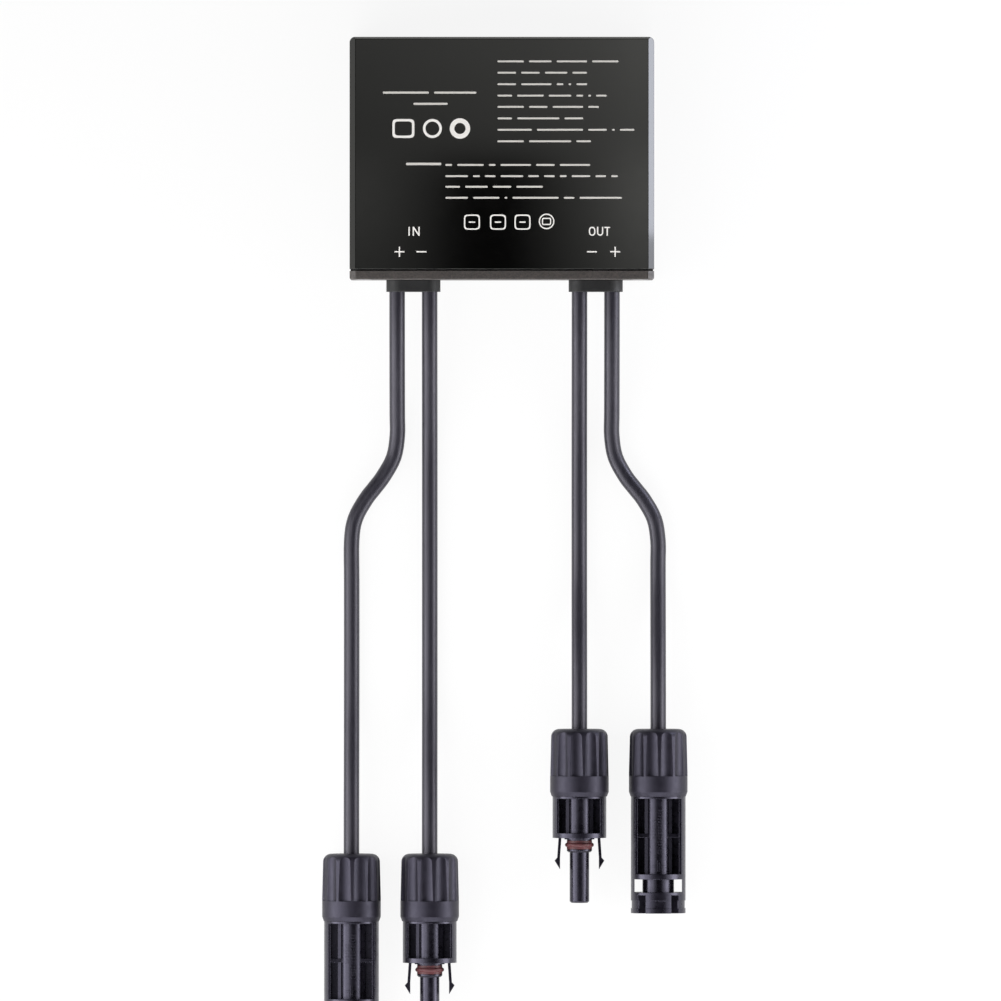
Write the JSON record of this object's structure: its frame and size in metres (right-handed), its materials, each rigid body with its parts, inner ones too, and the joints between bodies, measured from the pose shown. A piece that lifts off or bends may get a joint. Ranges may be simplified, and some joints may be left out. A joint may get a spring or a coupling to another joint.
{
  "type": "power optimizer",
  "caption": "Flat black power optimizer for a solar panel: a sealed metal box with an end lid, rubber glands, short input and output leads and plug-in connectors.",
  "frame": {"origin": "centre of the back face of the shell and its lid, which lies on the surface", "axes": "+Z out of the front face, +Y from the lid to the closed end, +X from input to output"},
  "size_m": [0.1214, 0.3324, 0.025],
  "materials": {
    "shell_coat": "matt black coated aluminium with brighter bevels",
    "lid_metal": "rough brownish grey cast finish",
    "gasket_rubber": "matt black",
    "screw_steel": "plain steel",
    "gland_rubber": "smooth black rubber",
    "board": "green solder mask",
    "ferrite": "matt dark grey",
    "copper": "enamelled copper",
    "capacitor_sleeve": "dark blue sleeve",
    "chip_plastic": "moulded black",
    "thermal_pad": "soft grey",
    "terminal_metal": "tinned brass",
    "lead_jacket": "satin black jacket",
    "nut_plastic": "fine matt black moulding",
    "body_plastic": "glossy black moulding",
    "clamp_plastic": "black moulding",
    "seal_rubber": "black rubber",
    "contact_metal": "tinned copper",
    "ring_rubber": "reddish brown rubber"
  },
  "bodies": {
    "root": {"housing_shell": "shell_coat", "end_lid": "lid_metal", "lid_gasket": "gasket_rubber", "lid_screws": "screw_steel", "input_gland": "gland_rubber", "output_gland": "gland_rubber", "circuit_board": "board", "inductor_core": "ferrite", "inductor_coil": "copper", "input_capacitors": "capacitor_sleeve", "output_capacitors": "capacitor_sleeve", "power_transistors": "chip_plastic", "thermal_pad": "thermal_pad", "controller_chip": "chip_plastic", "lead_terminals": "terminal_metal", "input_plus_lead": "lead_jacket", "input_minus_lead": "lead_jacket", "output_minus_lead": "lead_jacket", "output_plus_lead": "lead_jacket", "input_plus_nut": "nut_plastic", "input_plus_body": "body_plastic", "input_plus_clamp": "clamp_plastic", "input_plus_seal": "seal_rubber", "input_plus_pin": "contact_metal", "input_minus_nut": "nut_plastic", "input_minus_body": "body_plastic", "input_minus_clamp": "clamp_plastic", "input_minus_seal": "seal_rubber", "input_minus_socket": "contact_metal", "input_minus_ring": "ring_rubber", "output_minus_nut": "nut_plastic", "output_minus_body": "body_plastic", "output_minus_clamp": "clamp_plastic", "output_minus_seal": "seal_rubber", "output_minus_socket": "contact_metal", "output_minus_ring": "ring_rubber", "output_plus_nut": "nut_plastic", "output_plus_body": "body_plastic", "output_plus_clamp": "clamp_plastic", "output_plus_seal": "seal_rubber", "output_plus_pin": "contact_metal"}
  },
  "joints": []
}
